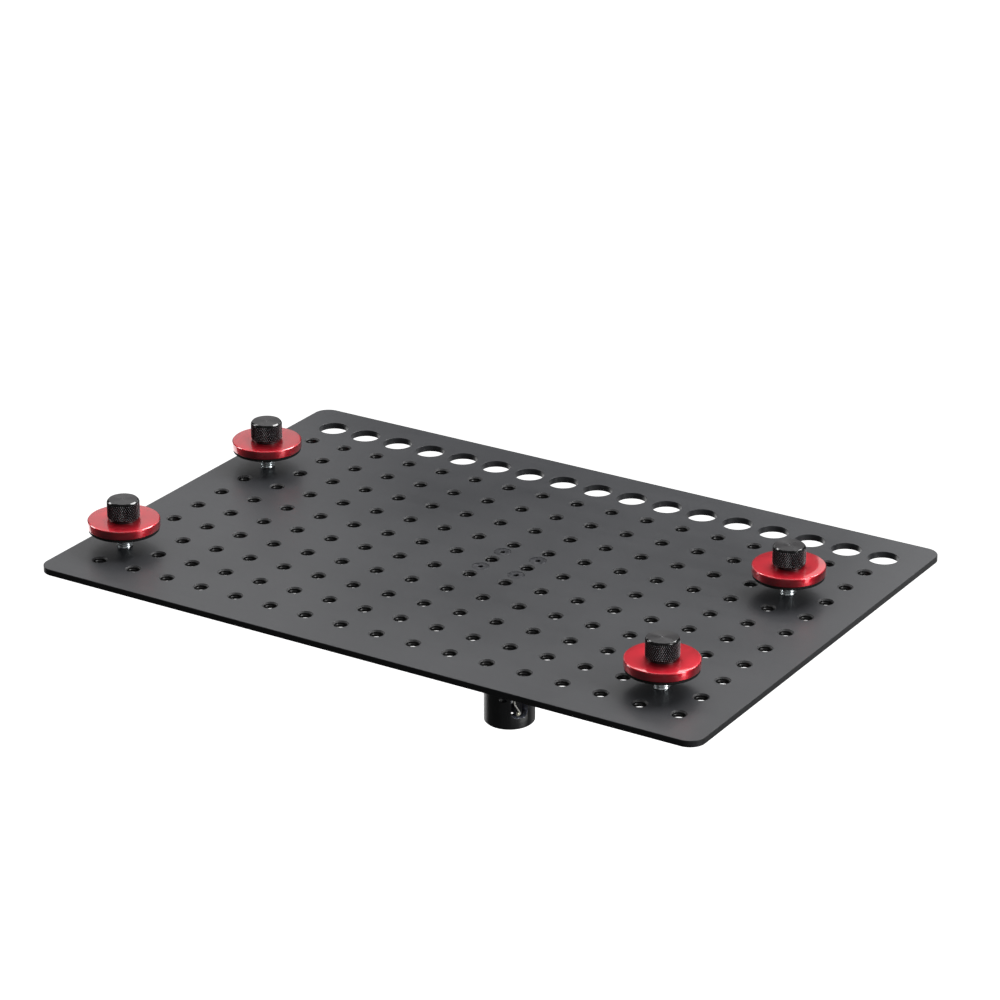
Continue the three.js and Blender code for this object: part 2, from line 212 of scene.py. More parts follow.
def drilled_plate():
    """Rounded plate with chamfered edges, a grid of tapped holes, a last row of cable holes, four plain
    holes for the clamps' studs and four countersunk holes for the flange's screws."""
    r = Recipe("drilled plate", {
        "Width": PLATE_HIGH.x - PLATE_LOW.x, "Depth": PLATE_HIGH.y - PLATE_LOW.y, "Thickness": THICKNESS,
        "Corner Radius": 10 * MM, "Corner Steps": 14, "Edge Chamfer": 0.2 * MM,
        "Hole Pitch": PITCH, "Columns": 17, "Rows": 11,
        "Rim Radius": 4.88 * MM, "Thread Radius": 4 * MM, "Lower Rim Radius": 4.3 * MM,
        "Stud Hole Radius": 4.82 * MM, "Hole Sides": 32,
        "Cable Rim Radius": 9.55 * MM, "Cable Hole Radius": 9.45 * MM, "Cable Hole Sides": 64,
        "Left Clamp Column": 0, "Right Clamp Column": 15, "Front Clamp Row": 1, "Rear Clamp Row": 7,
        "Screw Spacing": 2 * SCREW_OFFSET, "Socket Offset": -PLATE_CENTRE.x,
        "Screw Head Radius": 5.25 * MM, "Screw Shank Radius": SCREW_HOLE_RADIUS, "Screw Head Rim": 0.3 * MM,
    }, ("Finish", "Edge Finish", "Chamfer Finish", "Thread Finish"))
    s = r.size
    outline = r.add("GeometryNodeFilletCurve",
                    r.add("GeometryNodeCurvePrimitiveQuadrilateral", Width=s["Width"], Height=s["Depth"]),
                    settings={"mode": "POLY"}, Radius=s["Corner Radius"], Count=s["Corner Steps"])
    outwards = r.add("ShaderNodeVectorMath", r.add("GeometryNodeInputTangent"), (0, 0, 1),
                     settings={"operation": "CROSS_PRODUCT"})
    inset = r.math("MULTIPLY", s["Edge Chamfer"], -1.0)
    face_outline = r.add("GeometryNodeSetPosition", outline,
                         Offset=r.add("ShaderNodeVectorMath", outwards, settings={"operation": "SCALE"},
                                      Scale=inset))

    def across(count):
        return r.math("MULTIPLY", r.math("SUBTRACT", count, 1.0), s["Hole Pitch"])

    grid = r.add("GeometryNodeMeshGrid", Size_X=across(s["Columns"]), Size_Y=across(s["Rows"]),
                 Vertices_X=s["Columns"], Vertices_Y=s["Rows"])
    index = r.add("GeometryNodeInputIndex")
    column = r.math("FLOOR", r.math("DIVIDE", index, s["Rows"]))
    row = r.math("FLOORED_MODULO", index, s["Rows"])

    def same(a, b):
        return r.math("COMPARE", a, b, 0.5)

    cable = same(row, r.math("SUBTRACT", s["Rows"], 1.0))
    stud = r.math("MULTIPLY",
                  r.math("MAXIMUM", same(column, s["Left Clamp Column"]),
                         same(column, s["Right Clamp Column"])),
                  r.math("MAXIMUM", same(row, s["Front Clamp Row"]), same(row, s["Rear Clamp Row"])))
    small = r.math("SUBTRACT", 1.0, cable)
    tapped = r.math("SUBTRACT", small, stud)
    screws = r.moved(r.add("GeometryNodeMeshGrid", Size_X=s["Screw Spacing"], Size_Y=s["Screw Spacing"],
                           Vertices_X=2, Vertices_Y=2), x=s["Socket Offset"])

    rim = r.circle(s["Rim Radius"], s["Hole Sides"])
    lower_rim = r.circle(s["Lower Rim Radius"], s["Hole Sides"])
    cable_rim = r.circle(s["Cable Rim Radius"], s["Cable Hole Sides"])
    head = r.circle(s["Screw Head Radius"], s["Hole Sides"])
    shank = r.circle(s["Screw Shank Radius"], s["Hole Sides"])

    def outlines(*holes):
        return [r.add("GeometryNodeRealizeInstances", hole) for hole in holes]

    cable_rims = r.placed(cable_rim, grid, cable)
    top = r.filled(face_outline, *outlines(cable_rims, r.placed(rim, grid, small), r.placed(head, screws)))
    foot = r.filled(face_outline, *outlines(cable_rims, r.placed(rim, grid, stud),
                                            r.placed(lower_rim, grid, tapped), r.placed(shank, screws)))
    foot = r.flipped(r.moved(foot, z=r.math("MULTIPLY", s["Thickness"], -1.0)))
    lower = r.math("SUBTRACT", s["Thickness"], s["Edge Chamfer"])
    side = r.join(r.band(outline, inset, 0.0, 0.0, s["Edge Chamfer"]),
                  r.band(outline, 0.0, s["Edge Chamfer"], 0.0, lower),
                  r.band(outline, 0.0, lower, inset, s["Thickness"]))

    def drilled(top_circle, top_radius, bore_radius, low_circle, low_radius):
        """Both chamfers of a hole, and its wall."""
        step = r.math("SUBTRACT", top_radius, bore_radius)
        back = r.math("MULTIPLY", step, -1.0)
        low_step = r.math("SUBTRACT", low_radius, bore_radius)
        end = r.math("SUBTRACT", s["Thickness"], low_step)
        rims = r.join(r.band(top_circle, back, step, 0.0, 0.0),
                      r.band(low_circle, 0.0, s["Thickness"], r.math("MULTIPLY", low_step, -1.0), end))
        return rims, r.band(top_circle, back, end, back, step)

    chamfers, thread = drilled(rim, s["Rim Radius"], s["Thread Radius"], lower_rim, s["Lower Rim Radius"])
    stud_hole = r.join(*drilled(rim, s["Rim Radius"], s["Stud Hole Radius"], rim, s["Rim Radius"]))
    cable_hole = r.join(*drilled(cable_rim, s["Cable Rim Radius"], s["Cable Hole Radius"],
                                 cable_rim, s["Cable Rim Radius"]))
    step = r.math("SUBTRACT", s["Screw Head Radius"], s["Screw Shank Radius"])
    cone_end = r.math("ADD", s["Screw Head Rim"], step)
    sink = r.join(r.band(head, 0.0, s["Screw Head Rim"], 0.0, 0.0),
                  r.band(head, r.math("MULTIPLY", step, -1.0), cone_end, 0.0, s["Screw Head Rim"]),
                  r.band(shank, 0.0, s["Thickness"], 0.0, cone_end))
    body = r.join(top, foot, r.placed(stud_hole, grid, stud), r.placed(cable_hole, grid, cable),
                  r.placed(sink, screws))
    return r.close(r.dressed(body, s["Finish"]), r.dressed(side, s["Edge Finish"]),
                   r.dressed(r.placed(chamfers, grid, tapped), s["Chamfer Finish"]),
                   r.dressed(r.placed(thread, grid, tapped), s["Thread Finish"]))


def wrapped(r, columns, rows):
    """A grid's column and row numbers, for a sheet that is wrapped round the Z axis."""
    tall = r.math("ADD", rows, 1.0)
    grid = r.add("GeometryNodeMeshGrid", Size_X=1.0, Size_Y=1.0, Vertices_X=r.math("ADD", columns, 1.0),
                 Vertices_Y=tall)
    index = r.add("GeometryNodeInputIndex")
    column = r.math("FLOOR", r.math("DIVIDE", index, tall))
    return grid, column, r.math("FLOORED_MODULO", index, tall)


def round_axis(r, grid, turn, radius, height):
    """Moves a grid's points to a share of a turn, a radius and a height."""
    angle = r.math("MULTIPLY", turn, math.tau)
    place = r.vector(r.math("MULTIPLY", radius, r.math("COSINE", angle)),
                     r.math("MULTIPLY", radius, r.math("SINE", angle)), height)
    return r.add("GeometryNodeSetPosition", grid, Position=place)


def knurled_barrel():
    """Side of a knob with a diamond knurl: points alternate between crests and roots."""
    r = Recipe("knurled barrel", {"Radius": KNURL_RADIUS, "Knurl Depth": KNURL_DEPTH, "Height": 10 * MM,
                                  "Diamonds Around": DIAMONDS_AROUND, "Diamonds Up": DIAMONDS_UP})
    s = r.size
    columns = r.math("MULTIPLY", s["Diamonds Around"], 2.0)
    rows = r.math("MULTIPLY", s["Diamonds Up"], 2.0)
    grid, column, row = wrapped(r, columns, rows)
    crest = r.math("FLOORED_MODULO", r.math("ADD", column, row), 2.0)
    inside = r.math("MULTIPLY", r.math("GREATER_THAN", row, 0.5),
                    r.math("LESS_THAN", row, r.math("SUBTRACT", rows, 0.5)))
    crest = r.math("MULTIPLY", crest, inside)
    drop = r.math("MULTIPLY", s["Knurl Depth"], r.math("SUBTRACT", 1.0, crest))
    grid = r.add("GeometryNodeStoreNamedAttribute", grid, Name="crest", Value=crest)
    barrel = round_axis(r, grid, r.math("DIVIDE", column, columns), r.math("SUBTRACT", s["Radius"], drop),
                        r.math("MULTIPLY", s["Height"], r.math("DIVIDE", row, rows)))
    barrel = r.add("GeometryNodeTriangulate", barrel, settings={"quad_method": "SHORTEST_DIAGONAL"})
    return r.close(r.dressed(barrel, s["Finish"]))


def threaded_rod():
    """Rod with a helical thread, flat at both ends, standing on the origin."""
    r = Recipe("threaded rod", {"Major Radius": 4.76 * MM, "Minor Radius": 3.95 * MM, "Pitch": THREAD_PITCH,
                                "Length": 26 * MM, "Turns": 17, "Sides": 32, "End Radius": 3.6 * MM})
    s = r.size
    rows = r.math("MULTIPLY", r.math("ADD", s["Turns"], 1.0), 4.0)
    grid, column, row = wrapped(r, s["Sides"], rows)
    turn = r.math("DIVIDE", column, s["Sides"])
    part = r.math("FLOORED_MODULO", row, 4.0)  # root, root, crest, crest
    crest = r.math("GREATER_THAN", part, 1.5)
    second = r.math("FLOORED_MODULO", part, 2.0)
    share = r.math("ADD", r.math("MULTIPLY", crest, 0.5), r.math("MULTIPLY", second, 0.16))
    turns_up = r.math("ADD", r.math("FLOOR", r.math("DIVIDE", row, 4.0)), share)
    height = r.math("MULTIPLY", s["Pitch"], r.math("SUBTRACT", r.math("ADD", turns_up, turn), 1.0))
    height = r.math("MINIMUM", r.math("MAXIMUM", height, 0.0), s["Length"])
    to_end = r.math("MINIMUM", height, r.math("SUBTRACT", s["Length"], height))
    radius = r.math("ADD", s["Minor Radius"],
                    r.math("MULTIPLY", crest, r.math("SUBTRACT", s["Major Radius"], s["Minor Radius"])))
    radius = r.math("MINIMUM", radius, r.math("ADD", s["End Radius"], to_end))
    rod = round_axis(r, grid, turn, radius, height)
    cap = r.filled(r.circle(s["End Radius"], s["Sides"]))
    return r.close(r.dressed(r.join(rod, r.flipped(cap), r.moved(cap, z=s["Length"])), s["Finish"]))


def countersunk_screws():
    """Four countersunk screws with hexagon sockets, on the corners of a square."""
    r = Recipe("countersunk screws", {
        "Spacing": 2 * SCREW_OFFSET, "Head Radius": 5 * MM, "Head Rim": 0.3 * MM, "Shank Radius": 2.5 * MM,
        "Length": 10 * MM, "Key Radius": 1.75 * MM, "Key Depth": 1.8 * MM, "Key Rim": 0.2 * MM, "Sides": 40,
    })
    s = r.size
    head, shank = r.circle(s["Head Radius"], s["Sides"]), r.circle(s["Shank Radius"], s["Sides"])
    lip = r.circle(r.math("ADD", s["Key Radius"], s["Key Rim"]), 6)
    key = r.circle(s["Key Radius"], 6)
    ease = r.math("MULTIPLY", s["Head Rim"], 0.5)
    step = r.math("SUBTRACT", s["Head Radius"], s["Shank Radius"])
    cone_end = r.math("ADD", s["Head Rim"], step)
    rim = r.math("MULTIPLY", ease, -1.0)
    top = r.filled(r.circle(r.math("SUBTRACT", s["Head Radius"], ease), s["Sides"]), lip)
    floor = r.moved(r.filled(key), z=r.math("MULTIPLY", s["Key Depth"], -1.0))
    foot = r.flipped(r.moved(r.filled(shank), z=r.math("MULTIPLY", s["Length"], -1.0)))
    screw = r.join(top, floor, foot, r.band(head, rim, 0.0, 0.0, ease),
                   r.band(head, 0.0, ease, 0.0, s["Head Rim"]),
                   r.band(head, 0.0, s["Head Rim"], r.math("MULTIPLY", step, -1.0), cone_end),
                   r.band(shank, 0.0, cone_end, 0.0, s["Length"]),
                   r.band(key, 0.0, s["Key Rim"], s["Key Rim"], 0.0),
                   r.band(key, 0.0, s["Key Depth"], 0.0, s["Key Rim"]))
    corners = r.add("GeometryNodeMeshGrid", Size_X=s["Spacing"], Size_Y=s["Spacing"],
                    Vertices_X=2, Vertices_Y=2)
    return r.close(r.dressed(r.placed(screw, corners), s["Finish"]))


# Turned and cut shapes

def turned(name, profile, sides=96, finish=None):
    """Mesh turned about Z from [radius, height] pairs, outer wall upwards. Its UV map runs round the axis
    and along the profile in centimetres."""
    bm = bmesh.new()
    uv = bm.loops.layers.uv.new("turning")
    rings, along, length = [], [], 0.0
    for i, (radius, height) in enumerate(profile):
        if i:
            length += math.dist(profile[i], profile[i - 1])
        along.append(length / (10 * MM))
        if radius < 1e-9:
            rings.append([bm.verts.new((0, 0, height))])
        else:
            rings.append([bm.verts.new((radius * math.cos(math.tau * k / sides),
                                        radius * math.sin(math.tau * k / sides), height))
                          for k in range(sides)])
    levels = list(zip(rings, along))
    for (low, a), (high, b) in zip(levels, levels[1:]):
        for k in range(sides):
            corners = [(low, k, a), (low, k + 1, a), (high, k + 1, b), (high, k, b)]
            if len(low) == 1:
                corners = [(low, 0, a), (high, k + 1, b), (high, k, b)]
            elif len(high) == 1:
                corners = [(low, k, a), (low, k + 1, a), (high, 0, b)]
            face = bm.faces.new([ring[j % sides if len(ring) > 1 else 0] for ring, j, _ in corners])
            for loop, (ring, j, v) in zip(face.loops, corners):
                loop[uv].uv = ((j if len(ring) > 1 else k + 0.5) / sides, v)
    bmesh.ops.remove_doubles(bm, verts=bm.verts, dist=1e-7)
    mesh = bpy.data.meshes.new(name)
    bm.to_mesh(mesh)
    bm.free()
    if finish:
        mesh.materials.append(finish)
    return mesh


def eased(points, ease, steps=3):
    """The profile with each of its inner corners rounded by about that much."""
    points = [Vector(p) for p in points]
    out = [tuple(points[0])]
    for before, corner, after in zip(points, points[1:], points[2:]):
        a, b = before - corner, after - corner
        cut = min(ease, a.length * 0.4, b.length * 0.4)
        start, end = corner + a.normalized() * cut, corner + b.normalized() * cut
        for k in range(steps + 1):
            t = k / steps
            out.append(tuple(start * (1 - t) ** 2 + corner * 2 * t * (1 - t) + end * t ** 2))
    out.append(tuple(points[-1]))
    return out


def ring_profile(points, ease, steps=3):
    """A closed profile, eased at every corner."""
    loop = [points[-1], *points, points[0]]
    inner = eased(loop, ease, steps)[1:-1]
    return [*inner, inner[0]]


def prism(name, outline, depth):
    """Solid with an outline in X and Y, and its depth along Z from 0."""
    bm = bmesh.new()
    face = bm.faces.new([bm.verts.new((x, y, 0)) for x, y in outline])
    top = bmesh.ops.extrude_face_region(bm, geom=[face])
    raised = [v for v in top["geom"] if isinstance(v, bmesh.types.BMVert)]
    bmesh.ops.translate(bm, vec=(0, 0, depth), verts=raised)
    bmesh.ops.recalc_face_normals(bm, faces=bm.faces)
    mesh = bpy.data.meshes.new(name)
    bm.to_mesh(mesh)
    bm.free()
    return mesh


def arc(x, y, radius, start, end, steps=8):
    """Points on an arc, with its angles in degrees."""
    angles = [math.radians(start + (end - start) * k / steps) for k in range(steps + 1)]
    return [(x + radius * math.cos(a), y + radius * math.sin(a)) for a in angles]


def circle(x, y, radius, steps):
    """Points round a circle."""
    return arc(x, y, radius, 0, 360, steps)[:-1]


def joined(name, *meshes):
    """One mesh of several, with their common points merged and each face in its own finish."""
    bm = bmesh.new()
    bm.loops.layers.uv.new("turning")
    bm.verts.layers.float.new("crest")
    finishes = []
    for mesh in meshes:
        first = len(bm.faces)
        bm.from_mesh(mesh)
        bm.faces.ensure_lookup_table()
        for face in bm.faces[first:]:
            finish = mesh.materials[face.material_index]
            if finish not in finishes:
                finishes.append(finish)
            face.material_index = finishes.index(finish)
    bmesh.ops.remove_doubles(bm, verts=bm.verts, dist=2e-6)
    whole = bpy.data.meshes.new(name)
    bm.to_mesh(whole)
    bm.free()
    for finish in finishes:
        whole.materials.append(finish)
    return whole


def machined(mesh, *cutters, ease=0.0, edge=None):
    """The mesh less its cutters, with its sharp edges eased and given the edge finish, if there is one."""
    scene = bpy.context.scene.collection.objects
    work = bpy.data.objects.new("work", mesh)
    scene.link(work)
    tools = []
    for cutter in cutters:
        tool = bpy.data.objects.new("tool", cutter)
        scene.link(tool)
        tools.append(tool)
        cut = work.modifiers.new("cut", "BOOLEAN")
        cut.object, cut.operation, cut.solver = tool, "DIFFERENCE", "EXACT"
        if cutter.materials:
            cut.material_mode = "TRANSFER"
    if ease:
        bevel = work.modifiers.new("ease", "BEVEL")
        bevel.width, bevel.segments, bevel.limit_method = ease, 2, "ANGLE"
        bevel.angle_limit = math.radians(32)
        if edge:
            mesh.materials.append(edge)
            bevel.material = len(mesh.materials) - 1
    graph = bpy.context.evaluated_depsgraph_get()
    result = bpy.data.meshes.new_from_object(work.evaluated_get(graph))
    for o in [work, *tools]:
        bpy.data.objects.remove(o)
    return result


def shade(mesh, angle=30):
    """Smooth faces with sharp edges past that angle."""
    mesh.shade_smooth()
    mesh.set_sharp_from_angle(angle=math.radians(angle))


def piece(name, mesh, body, finish=None, place=None, replaces=(), angle=30):
    """Puts a finished mesh on its body, in place of the nodes that it stands for."""
    if place is not None:
        mesh.transform(place)
    if finish is not None:
        mesh.materials.clear()
        mesh.materials.append(finish)
    shade(mesh, angle)
    obj = bpy.data.objects.new(name, mesh)
    bpy.context.scene.collection.objects.link(obj)
    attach(obj, body)
    if replaces:
        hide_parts(*replaces)
    return obj


# Finishes

class Finish(Nodes):
    """A material with one Principled shader and the nodes for its grain and wear."""

    def __init__(self, name, **constants):
        self.material = bpy.data.materials.new(name)
        self.material.use_nodes = True
        super().__init__(self.material.node_tree)
        self.shader = self.tree.nodes["Principled BSDF"]
        for label, value in constants.items():
            self.shader.inputs[label.replace("_", " ")].default_value = value
        self.object = self.tree.nodes.new("ShaderNodeTexCoord").outputs["Object"]

    def noise(self, where, scale, detail=3.0, roughness=0.55):
        return self.add("ShaderNodeTexNoise", Vector=where, Scale=scale, Detail=detail, Roughness=roughness)

    def spread(self, value, low, high, from_low=0.3, from_high=0.7):
        """Maps a value to the range from low to high. Noise keeps mostly between 0.3 and 0.7."""
        return self.add("ShaderNodeMapRange", value, from_low, from_high, low, high)

    def scaled(self, where, x, y, z):
        return self.add("ShaderNodeMapping", where, Scale=(x, y, z))

    def blended(self, share, one, other):
        node = self.tree.nodes.new("ShaderNodeMix")
        node.data_type = "RGBA"
        self.give(node.inputs["Factor"], share)
        for label, colour in (("A", one), ("B", other)):
            socket = [i for i in node.inputs if i.name == label and i.type == "RGBA"][0]
            self.give(socket, (*colour, 1.0) if isinstance(colour, tuple) else colour)
        return [o for o in node.outputs if o.type == "RGBA"][0]

    def colour(self, value):
        self.give(self.shader.inputs["Base Color"], value)

    def rough(self, value):
        self.give(self.shader.inputs["Roughness"], value)

    def bump(self, height, distance, strength=1.0):
        bumped = self.add("ShaderNodeBump", Strength=strength, Distance=distance, Height=height)
        self.give(self.shader.inputs["Normal"], bumped)


def plate_finish():
    """Satin black anodised sheet: fine blasted grain, soft cloudy sheen and faint wipe marks."""
    f = Finish("plate black anodised", Metallic=0.0, IOR=1.46)
    cloud = f.noise(f.object, 9.0, 4.0)
    streak = f.noise(f.scaled(f.object, 14.0, 160.0, 60.0), 1.0, 3.0)
    grain = f.noise(f.object, 2600.0, 2.0)
    f.colour(f.blended(f.spread(cloud, 0.0, 1.0), (0.022, 0.0229, 0.0256), (0.029, 0.030, 0.0332)))
    tone = f.math("ADD", f.spread(cloud, 0.33, 0.38), f.spread(streak, -0.015, 0.02))
    f.rough(f.math("ADD", tone, f.spread(grain, -0.02, 0.03)))
    f.bump(grain, 0.012 * MM)
    return f.material


def chamfer_finish():
    """Dull cut edge of a tapped hole, anodised with the plate."""
    f = Finish("hole chamfer black anodised", Metallic=0.0, IOR=1.4)
    line = f.noise(f.scaled(f.object, 900.0, 900.0, 6000.0), 1.0, 3.0)
    f.colour(f.blended(f.spread(line, 0.0, 1.0), (0.018, 0.0183, 0.0195), (0.03, 0.0304, 0.032)))
    f.rough(f.spread(line, 0.5, 0.6))
    return f.material


def edge_finish():
    """Milled edge of the plate, duller than its faces, in a darker black that is painted shade on the side
    faces.
    """
    f = Finish("plate edge black anodised", Metallic=0.0, IOR=1.38)
    line = f.noise(f.scaled(f.object, 300.0, 300.0, 4000.0), 1.0, 3.0)
    # painted shade: a darker copy of the plate's black on the side faces
    f.colour(f.blended(f.spread(line, 0.0, 1.0), (0.008, 0.0084, 0.0094), (0.012, 0.0125, 0.0138)))
    f.rough(f.spread(line, 0.45, 0.55))
    return f.material


def tapped_finish():
    """Painted shade: a far darker black than the plate's, with the lines of a 3/8 inch thread round each hole
    of the grid.
    """
    f = Finish("tapped hole black anodised", Metallic=0.0, IOR=1.5, Roughness=0.32)
    # painted shade: the hole walls are coloured far darker than the plate's black
    f.colour((0.0025, 0.0025, 0.003, 1.0))
    x, y, z = (f.add("ShaderNodeSeparateXYZ", f.object, output=i) for i in range(3))

    def from_hole(value, first):
        shifted = f.math("SUBTRACT", value, first - PITCH / 2)
        return f.math("SUBTRACT", f.math("FLOORED_MODULO", shifted, PITCH), PITCH / 2)

    angle = f.math("ARCTAN2", from_hole(y, PLATE_CENTRE.y), from_hole(x, PLATE_CENTRE.x))
    turns = f.math("SUBTRACT", f.math("DIVIDE", z, THREAD_PITCH), f.math("DIVIDE", angle, math.tau))
    height = f.math("PINGPONG", turns, 0.5)
    f.bump(height, 0.9 * MM, 0.9)
    return f.material


def turned_black(name, base, roughness, rings, ior=1.72):
    """Black anodised metal with fine turning lines that follow the piece's UV map."""
    f = Finish(name, Metallic=0.0, IOR=ior, Anisotropic=0.75, Anisotropic_Rotation=0.25)
    where = f.add("ShaderNodeUVMap", settings={"uv_map": "turning"})
    line = f.noise(f.scaled(where, 1.5, rings, 1.0), 1.0, 4.0, 0.65)
    cloud = f.noise(f.object, 120.0, 3.0)
    f.colour(f.blended(f.spread(cloud, 0.0, 1.0), base, tuple(c * 1.35 for c in base)))
    f.rough(f.math("ADD", f.spread(line, roughness - 0.04, roughness + 0.05), f.spread(cloud, -0.02, 0.03)))
    f.bump(line, 0.01 * MM)
    tangent = f.add("ShaderNodeTangent", settings={"direction_type": "UV_MAP", "uv_map": "turning"})
    f.give(f.shader.inputs["Tangent"], tangent)
    return f.material


def milled():
    """Thin anodising on milled walls and edges, where the metal shows through bluish."""
    f = Finish("milled edge", Metallic=0.75)
    cloud, line = f.noise(f.object, 300.0, 4.0), f.noise(f.scaled(f.object, 500.0, 500.0, 3000.0), 1.0, 3.0)
    f.colour(f.blended(f.spread(cloud, 0.0, 1.0), (0.5, 0.54, 0.66), (0.64, 0.68, 0.8)))
    f.rough(f.math("ADD", f.spread(line, 0.32, 0.42), f.spread(cloud, -0.02, 0.03)))
    f.bump(line, 0.008 * MM)
    return f.material


def knurled_black():
    """Black anodised knurl: darker grooves as painted shade, lighter points as finger polish and painted
    glint.
    """
    f = Finish("knurl black anodised", Metallic=0.0, IOR=1.38)
    wear = f.spread(f.noise(f.object, 900.0, 3.0), 0.55, 1.0)
    crest = f.add("ShaderNodeAttribute", output=2, settings={"attribute_name": "crest"})
    point = f.math("MULTIPLY", f.spread(crest, 0.0, 1.0, 0.66, 0.93), wear)
    # painted shade between the points; the light grey points are partly polish and partly a painted glint
    f.colour(f.blended(point, (0.001, 0.001, 0.0013), (0.72, 0.735, 0.79)))
    f.rough(f.math("SUBTRACT", 0.3, f.math("MULTIPLY", point, 0.12)))
    return f.material


def anodised_red(name, grooved):
    """Turned and red anodised aluminium under a clear hard skin."""
    f = Finish(name, Metallic=1.0, Coat_Weight=1.0, Coat_Roughness=0.08, Coat_IOR=1.85,
               Anisotropic=grooved, Anisotropic_Rotation=0.25)
    where = f.add("ShaderNodeUVMap", settings={"uv_map": "turning"})
    line = f.noise(f.scaled(where, 1.2, 90.0, 1.0), 1.0, 5.0, 0.6)
    cloud = f.noise(f.object, 60.0, 3.0)
    f.colour(f.blended(f.spread(cloud, 0.0, 1.0), (0.42, 0.007, 0.018), (0.5, 0.012, 0.026)))
    f.rough(f.math("ADD", f.spread(line, 0.42, 0.5), f.spread(cloud, -0.02, 0.03)))
    f.bump(line, 0.003 * MM)
    tangent = f.add("ShaderNodeTangent", settings={"direction_type": "UV_MAP", "uv_map": "turning"})
    f.give(f.shader.inputs["Tangent"], tangent)
    return f.material


def rubber():
    """Matt black rubber with a fine moulded grain and a little dust."""
    f = Finish("black rubber", Metallic=0.0, Specular_IOR_Level=0.2)
    grain, dust = f.noise(f.object, 1800.0, 3.0), f.noise(f.object, 300.0, 5.0)
    f.colour(f.blended(f.spread(dust, 0.0, 0.5, 0.5, 0.8), (0.006, 0.006, 0.006), (0.022, 0.021, 0.02)))
    f.rough(f.spread(dust, 0.68, 0.85))
    f.bump(grain, 0.03 * MM)
    return f.material


def zinc(name, metal, dull, bright):
    """Zinc plate with fine drawn lines, between two tones."""
    f = Finish(name, Metallic=metal)
    cloud, line = f.noise(f.object, 260.0, 4.0), f.noise(f.scaled(f.object, 400.0, 400.0, 2600.0), 1.0, 3.0)
    f.colour(f.blended(f.spread(cloud, 0.0, 1.0), dull, bright))
    f.rough(f.math("ADD", f.spread(cloud, 0.2, 0.3), f.spread(line, -0.03, 0.05)))
    f.bump(line, 0.006 * MM)
    return f.material


def wire():
    """Drawn spring wire."""
    f = Finish("spring wire", Metallic=0.4)
    cloud, line = f.noise(f.object, 500.0, 3.0), f.noise(f.scaled(f.object, 3000.0, 3000.0, 500.0), 1.0, 2.0)
    f.colour(f.blended(f.spread(cloud, 0.0, 1.0), (0.85, 0.84, 0.77), (0.95, 0.94, 0.88)))
    f.rough(f.spread(line, 0.3, 0.42))
    f.bump(line, 0.004 * MM)
    return f.material


def black_oxide():
    """Black oxide on steel: a dark bluish film, rubbed thin in places."""
    f = Finish("black oxide steel", Metallic=0.85)
    cloud, grain = f.noise(f.object, 400.0, 4.0), f.noise(f.object, 3000.0, 2.0)
    f.colour(f.blended(f.spread(cloud, 0.0, 1.0, 0.4, 0.75), (0.035, 0.036, 0.041), (0.085, 0.085, 0.09)))
    f.rough(f.math("ADD", f.spread(cloud, 0.34, 0.46), f.spread(grain, -0.03, 0.03)))
    f.bump(grain, 0.01 * MM)
    return f.material


PLATE, SHADED_EDGE, CHAMFER, TAPPED_SHADE = plate_finish(), edge_finish(), chamfer_finish(), tapped_finish()
SOCKET_BLACK = turned_black("socket black anodised", (0.006, 0.0064, 0.0073), 0.42, 60.0, 1.55)
# The knob's face, rim and neck use copies of one black: the face's lighter black is painted light on the top
LIT_FACE_BLACK = turned_black("knob face black anodised", (0.015, 0.0144, 0.0153), 0.3, 70.0, 1.42)
RIM_BLACK = turned_black("knob rim black anodised", (0.003, 0.003, 0.0033), 0.13, 30.0, 1.75)
NECK_BLACK = turned_black("knob neck black anodised", (0.003, 0.003, 0.0033), 0.35, 40.0)
MILLED = milled()
RED, RED_RIM = anodised_red("red anodised face", 0.15), anodised_red("red anodised rim", 0.8)
ZINC = zinc("blue zinc plated steel", 1.0, (0.6, 0.67, 0.7), (0.74, 0.78, 0.79))
PEG_ZINC = zinc("yellow zinc plated steel", 0.6, (0.72, 0.68, 0.5), (0.86, 0.83, 0.68))
KNURL, RUBBER, WIRE, OXIDE = knurled_black(), rubber(), wire(), black_oxide()


# Plate, flange and screws

def table_plate():
    mesh = shaped(drilled_plate(), finish=PLATE, edge_finish=SHADED_EDGE, chamfer_finish=CHAMFER,
                  thread_finish=TAPPED_SHADE)
    piece("table-plate", mesh, "table",
          place=Matrix.Translation(PLATE_CENTRE), replaces=["table_plate"])


def mounting_flange():
    low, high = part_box("mounting_flange")
    radius, foot, top = (high.x - low.x) / 2, low.z, high.z
    bore, chamfer = NECK_RADIUS + 0.15 * MM, 0.8 * MM
    ring = turned("flange", ring_profile([(bore, foot), (radius - chamfer, foot), (radius, foot + chamfer),
                                          (radius, top), (bore, top)], TURNED_EASE), 128, SOCKET_BLACK)
    drills = []
    for x in (-SCREW_OFFSET, SCREW_OFFSET):
        for y in (-SCREW_OFFSET, SCREW_OFFSET):
            drill = prism("drill", circle(0, 0, SCREW_HOLE_RADIUS, 48), top - foot + 4 * MM)
            drill.transform(Matrix.Translation((x, y, foot - 2 * MM)))
            drills.append(drill)
    piece("mounting-flange", machined(ring, *drills), "table",
          replaces=["mounting_flange"])


def flange_screws():
    screw_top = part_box("flange_screw_1")[1].z
    piece("flange-screws", shaped(countersunk_screws(), finish=OXIDE), "table",
          place=Matrix.Translation((0, 0, screw_top)), replaces=[f"flange_screw_{i}" for i in (1, 2, 3, 4)])


# Socket and latch. The window's own frame has X out from the axis, Y across and Z up.

